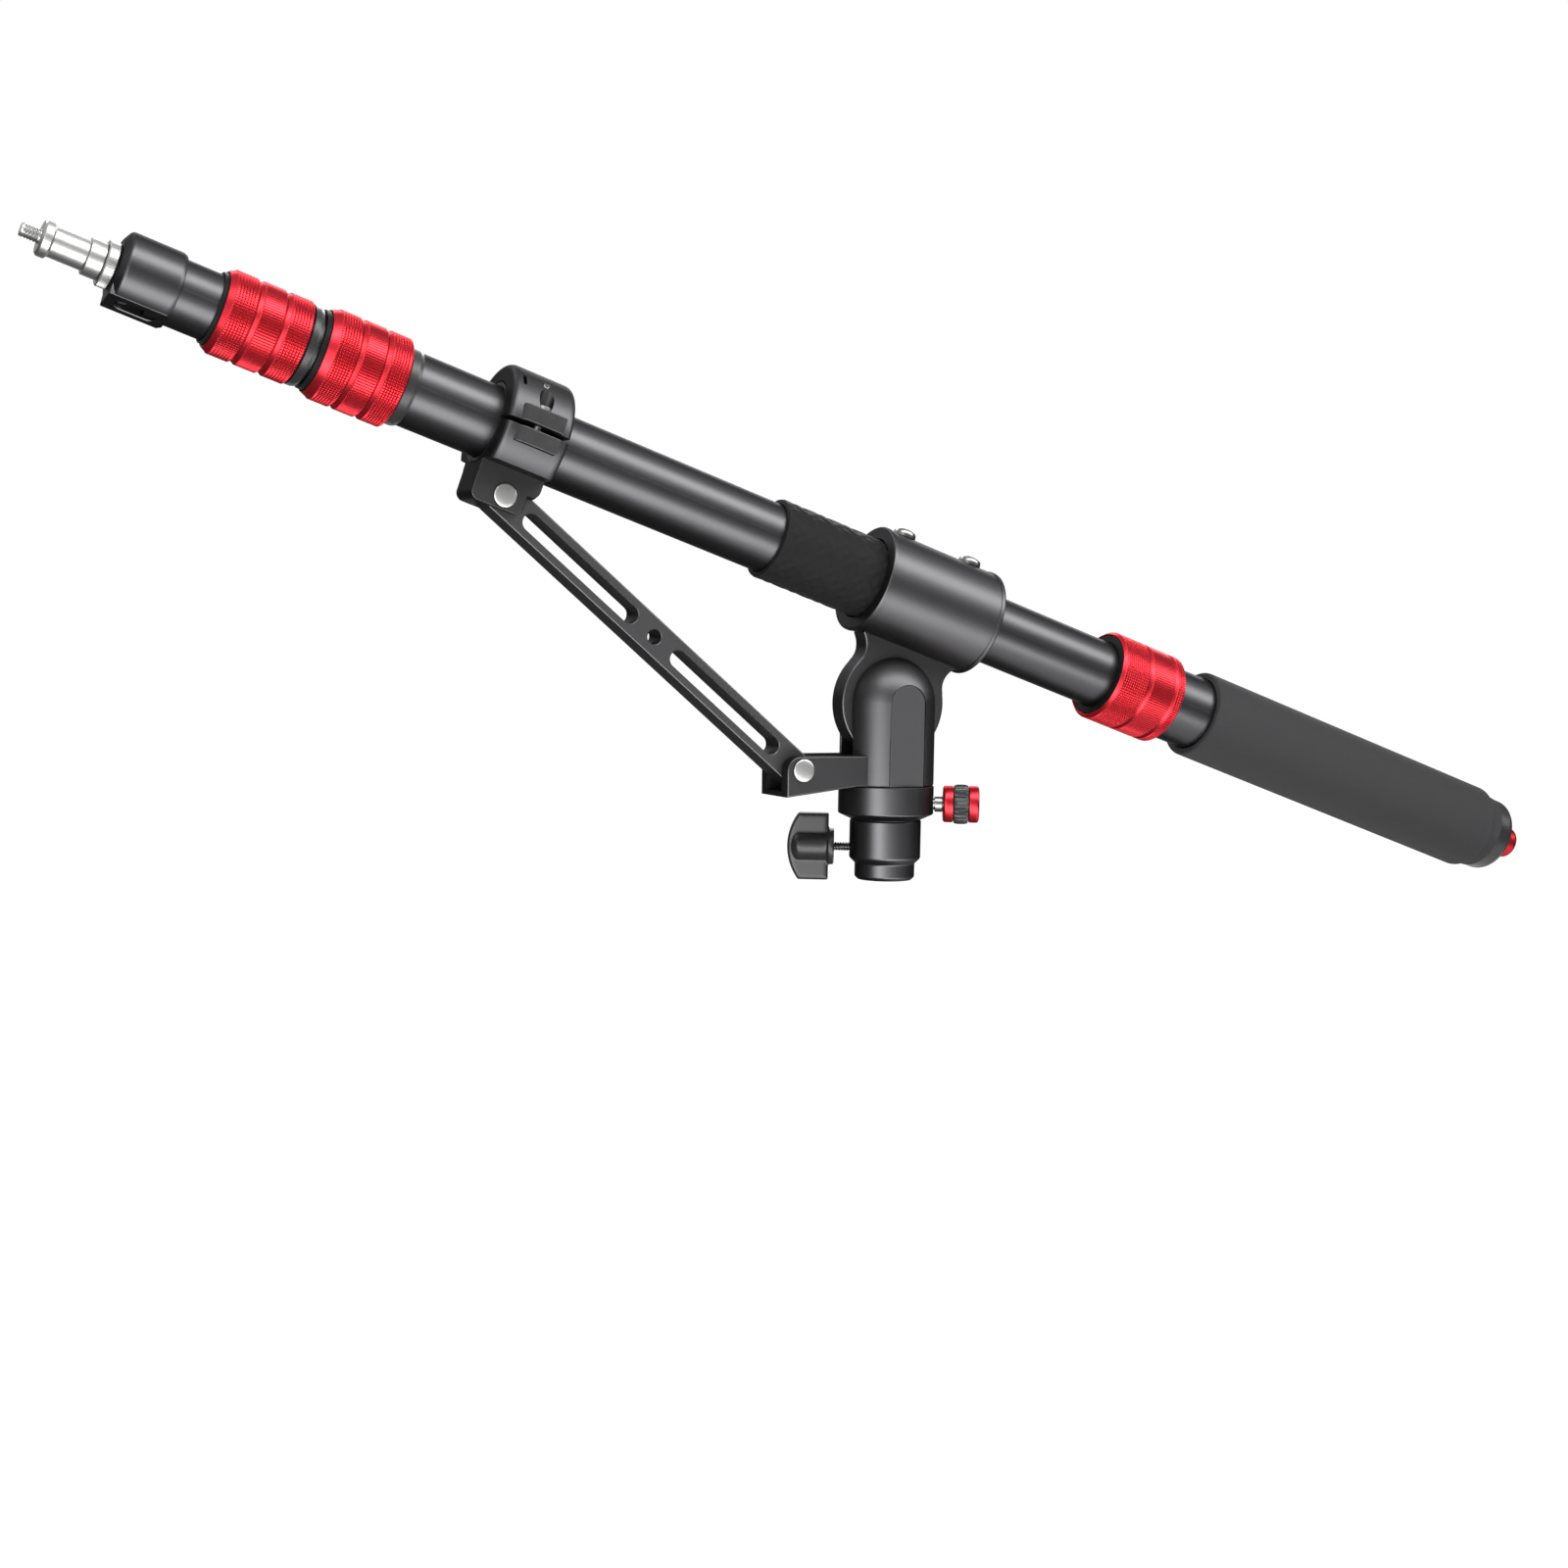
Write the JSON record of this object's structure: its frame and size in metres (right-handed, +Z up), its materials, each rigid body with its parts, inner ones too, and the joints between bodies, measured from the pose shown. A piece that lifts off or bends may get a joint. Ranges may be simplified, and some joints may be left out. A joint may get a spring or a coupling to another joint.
{
  "type": "telescopic boom arm",
  "caption": "Telescopic boom arm for a light stand: socket head, tilting yoke, strut with sliding clamp, twist-lock tubes, threaded front stud and foam handle.",
  "frame": {"origin": "centre of the stand socket's bottom rim", "axes": "+Z up along the pan axis, +X towards the handle end, -Y towards the side with the pan lock knob"},
  "size_m": [0.8112, 0.0587, 0.2928],
  "materials": {
    "black_anodised": "satin black anodised aluminium",
    "black_paint": "semi-matt black paint on a thin aluminium plate",
    "black_plastic": "moulded black nylon",
    "white_nylon": "natural nylon",
    "red_anodised": "bright red anodised aluminium, knurled ridges",
    "bright_steel": "nickel plated steel",
    "rubber": "matt black rubber",
    "foam": "closed-cell foam, fine matt grain"
  },
  "bodies": {
    "base": {"socket_body": "black_anodised", "pan_thrust_washer": "white_nylon"},
    "pan_knob": {"pan_screw": "bright_steel", "pan_knob_inner_ring": "red_anodised", "pan_knob_grip": "black_plastic", "pan_knob_outer_ring": "red_anodised"},
    "wing_knob": {"wing_screw": "bright_steel", "wing_knob_body": "black_plastic"},
    "yoke": {"yoke_body": "black_anodised", "side_pad_near": "black_paint", "side_pad_far": "black_paint", "friction_washer_near": "white_nylon", "friction_washer_far": "white_nylon", "tilt_bolt": "bright_steel", "tilt_nut": "bright_steel", "strut_lower_rivet": "bright_steel"},
    "strut": {"strut_bar": "black_anodised"},
    "boom": {"sleeve_body": "black_anodised", "sleeve_screw_front": "bright_steel", "sleeve_screw_rear": "bright_steel", "main_tube": "black_anodised", "main_tube_plug": "black_plastic", "grip_wrap": "rubber", "ferrule_2": "black_plastic", "collar_2_bush": "black_plastic"},
    "clamp": {"clamp_body": "black_anodised", "clamp_liner": "black_plastic", "clamp_screw": "bright_steel", "clamp_set_screw": "bright_steel", "fork_rivet_near": "bright_steel", "fork_rivet_far": "bright_steel"},
    "mid_section": {"mid_tube": "black_anodised", "mid_tube_plug": "black_plastic", "ferrule_1": "black_plastic", "collar_1_bush": "black_plastic"},
    "front_section": {"front_tube": "black_anodised", "front_tube_plug": "black_plastic", "end_hub": "black_anodised", "hub_screw": "bright_steel", "stud": "bright_steel"},
    "knurled_ring": {"stud_ring": "bright_steel"},
    "collar_1": {"lock_collar_1": "red_anodised"},
    "collar_2": {"lock_collar_2": "red_anodised"},
    "rear_section": {"handle_tube": "black_anodised", "handle_foam": "foam", "end_cap": "black_plastic", "end_plug": "red_anodised", "collar_3_bush": "black_plastic"},
    "collar_3": {"lock_collar_3": "red_anodised"}
  },
  "joints": [
    {"name": "pan_turn", "type": "hinge", "parent": "base", "child": "yoke", "pos_m": [0, 0, 0.0386], "axis": [0, 0, 1], "range_deg": [-155, 100]},
    {"name": "boom_tilt", "type": "hinge", "parent": "yoke", "child": "boom", "pos_m": [0, 0, 0.0865], "axis": [0, 1, 0], "range_deg": [-18.8, 26]},
    {"name": "strut_swing", "type": "hinge", "parent": "yoke", "child": "strut", "pos_m": [-0.0526, 0, 0.0549], "axis": [0, 1, 0], "range_deg": [-24, 33]},
    {"name": "clamp_slide", "type": "slide", "parent": "boom", "child": "clamp", "axis": [0.9466, 0, -0.3223], "range_m": [-0.022, 0.03]},
    {"name": "mid_extend", "type": "slide", "parent": "boom", "child": "mid_section", "axis": [-0.9466, 0, 0.3223], "range_m": [0, 0.48]},
    {"name": "front_extend", "type": "slide", "parent": "mid_section", "child": "front_section", "axis": [-0.9466, 0, 0.3223], "range_m": [0, 0.48]},
    {"name": "handle_extend", "type": "slide", "parent": "boom", "child": "rear_section", "axis": [0.9466, 0, -0.3223], "range_m": [0, 0.2]},
    {"name": "collar_1_twist", "type": "hinge", "parent": "mid_section", "child": "collar_1", "pos_m": [-0.31277, 0, 0.24885], "axis": [0.9466, 0, -0.3223], "range_deg": [0, 120]},
    {"name": "collar_2_twist", "type": "hinge", "parent": "boom", "child": "collar_2", "pos_m": [-0.26884, 0, 0.2339], "axis": [0.9466, 0, -0.3223], "range_deg": [0, 120]},
    {"name": "collar_3_twist", "type": "hinge", "parent": "rear_section", "child": "collar_3", "pos_m": [0.14011, 0, 0.09468], "axis": [0.9466, 0, -0.3223], "range_deg": [0, 120]},
    {"name": "pan_knob_turn", "type": "hinge", "parent": "base", "child": "pan_knob", "pos_m": [0, 0, 0.0375], "axis": [0.8829, -0.4695, 0], "range_deg": [0, 360]},
    {"name": "wing_knob_turn", "type": "hinge", "parent": "base", "child": "wing_knob", "pos_m": [0, 0, 0.0156], "axis": [-0.8829, 0.4695, 0], "range_deg": [0, 360]},
    {"name": "stud_ring_turn", "type": "hinge", "parent": "front_section", "child": "knurled_ring", "pos_m": [-0.37619, 0, 0.27045], "axis": [0.9466, 0, -0.3223], "range_deg": [0, 360]}
  ],
  "couplings": [
    {"joint": "strut_swing", "follows": "boom_tilt", "ratio": 1.2},
    {"joint": "clamp_slide", "follows": "boom_tilt", "m_per_rad": 0.063}
  ]
}
